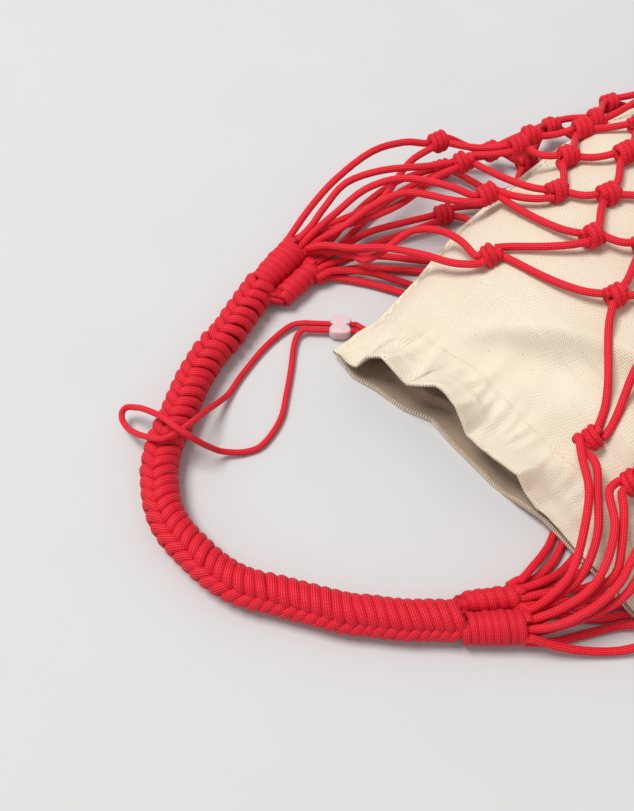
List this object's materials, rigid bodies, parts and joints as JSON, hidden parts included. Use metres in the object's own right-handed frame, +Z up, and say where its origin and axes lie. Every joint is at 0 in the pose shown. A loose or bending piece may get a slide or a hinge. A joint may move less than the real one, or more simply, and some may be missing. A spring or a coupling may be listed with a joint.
{
  "type": "knotted net bag with inner drawstring pouch",
  "caption": "Knotted cord net bag with a corded loop handle, lying on its side round a gathered canvas pouch whose drawstring runs through a cord lock.",
  "frame": {"origin": "centre of the flat underside of the pouch's mouth, on the surface that the bag lies on", "axes": "+X from the mouth to the bottom of the bag, +Y to the side where the pouch is drawn shut, +Z up from the surface"},
  "size_m": [0.48, 0.306, 0.0684],
  "materials": {
    "canvas": "undyed cotton canvas, plain weave",
    "thread": "cotton sewing thread",
    "drawstring": "thin braided nylon cord",
    "net_cord": "braided nylon cord with a soft sheen",
    "handle_cord": "braided nylon cord, knotted flat",
    "cord_lock": "translucent pinkish plastic"
  },
  "bodies": {
    "bag": {"pouch_front_panel": "canvas", "pouch_back_panel": "canvas", "pouch_front_casing": "canvas", "pouch_back_casing": "canvas", "seam_stitches": "thread", "drawstring_in_casing": "drawstring", "drawstring_strands": "drawstring", "drawstring_loop": "drawstring", "leaders_left_front": "net_cord", "leaders_left_back": "net_cord", "leaders_right_front": "net_cord", "leaders_right_back": "net_cord", "net_knots_upper_a": "net_cord", "net_knots_lower_a": "net_cord", "net_knots_upper_b": "net_cord", "net_knots_lower_b": "net_cord", "net_knots_upper_c": "net_cord", "net_knots_lower_c": "net_cord", "net_knots_upper_d": "net_cord", "net_knots_lower_d": "net_cord", "net_knots_upper_e": "net_cord", "net_knots_lower_e": "net_cord", "net_knots_upper_f": "net_cord", "net_knots_lower_f": "net_cord", "net_knots_upper_g": "net_cord", "net_knots_lower_g": "net_cord", "net_knots_upper_h": "net_cord", "net_knots_lower_h": "net_cord", "net_knots_upper_i": "net_cord", "net_knots_lower_i": "net_cord", "net_knots_upper_j": "net_cord", "net_knots_lower_j": "net_cord", "net_cords_to_b_upper": "net_cord", "net_cords_to_b_lower": "net_cord", "net_cords_to_c": "net_cord", "net_cords_to_d": "net_cord", "net_cords_to_e": "net_cord", "net_cords_to_f": "net_cord", "net_cords_to_g": "net_cord", "net_cords_to_h": "net_cord", "net_cords_to_i": "net_cord", "net_cords_to_j": "net_cord", "net_cords_to_k": "net_cord", "net_closing_knots": "net_cord"},
    "handle": {"handle_core": "handle_cord", "handle_sinnet": "handle_cord", "bundles_in_wraps": "handle_cord", "wrap_left_front": "handle_cord", "wrap_left_back": "handle_cord", "wrap_right_front": "handle_cord", "wrap_right_back": "handle_cord"},
    "lock": {"cord_lock": "cord_lock"}
  },
  "joints": [
    {"name": "handle_swing", "type": "hinge", "parent": "bag", "child": "handle", "pos_m": [0.005, 0, 0.02], "axis": [0, 1, 0], "range_deg": [0, 105], "deforming": ["leaders_left_front", "leaders_left_back", "leaders_right_front", "leaders_right_back", "drawstring_loop"]},
    {"name": "lock_slide", "type": "slide", "parent": "bag", "child": "lock", "axis": [-0.8713, 0.4907, 0], "range_m": [0, 0.01]}
  ]
}
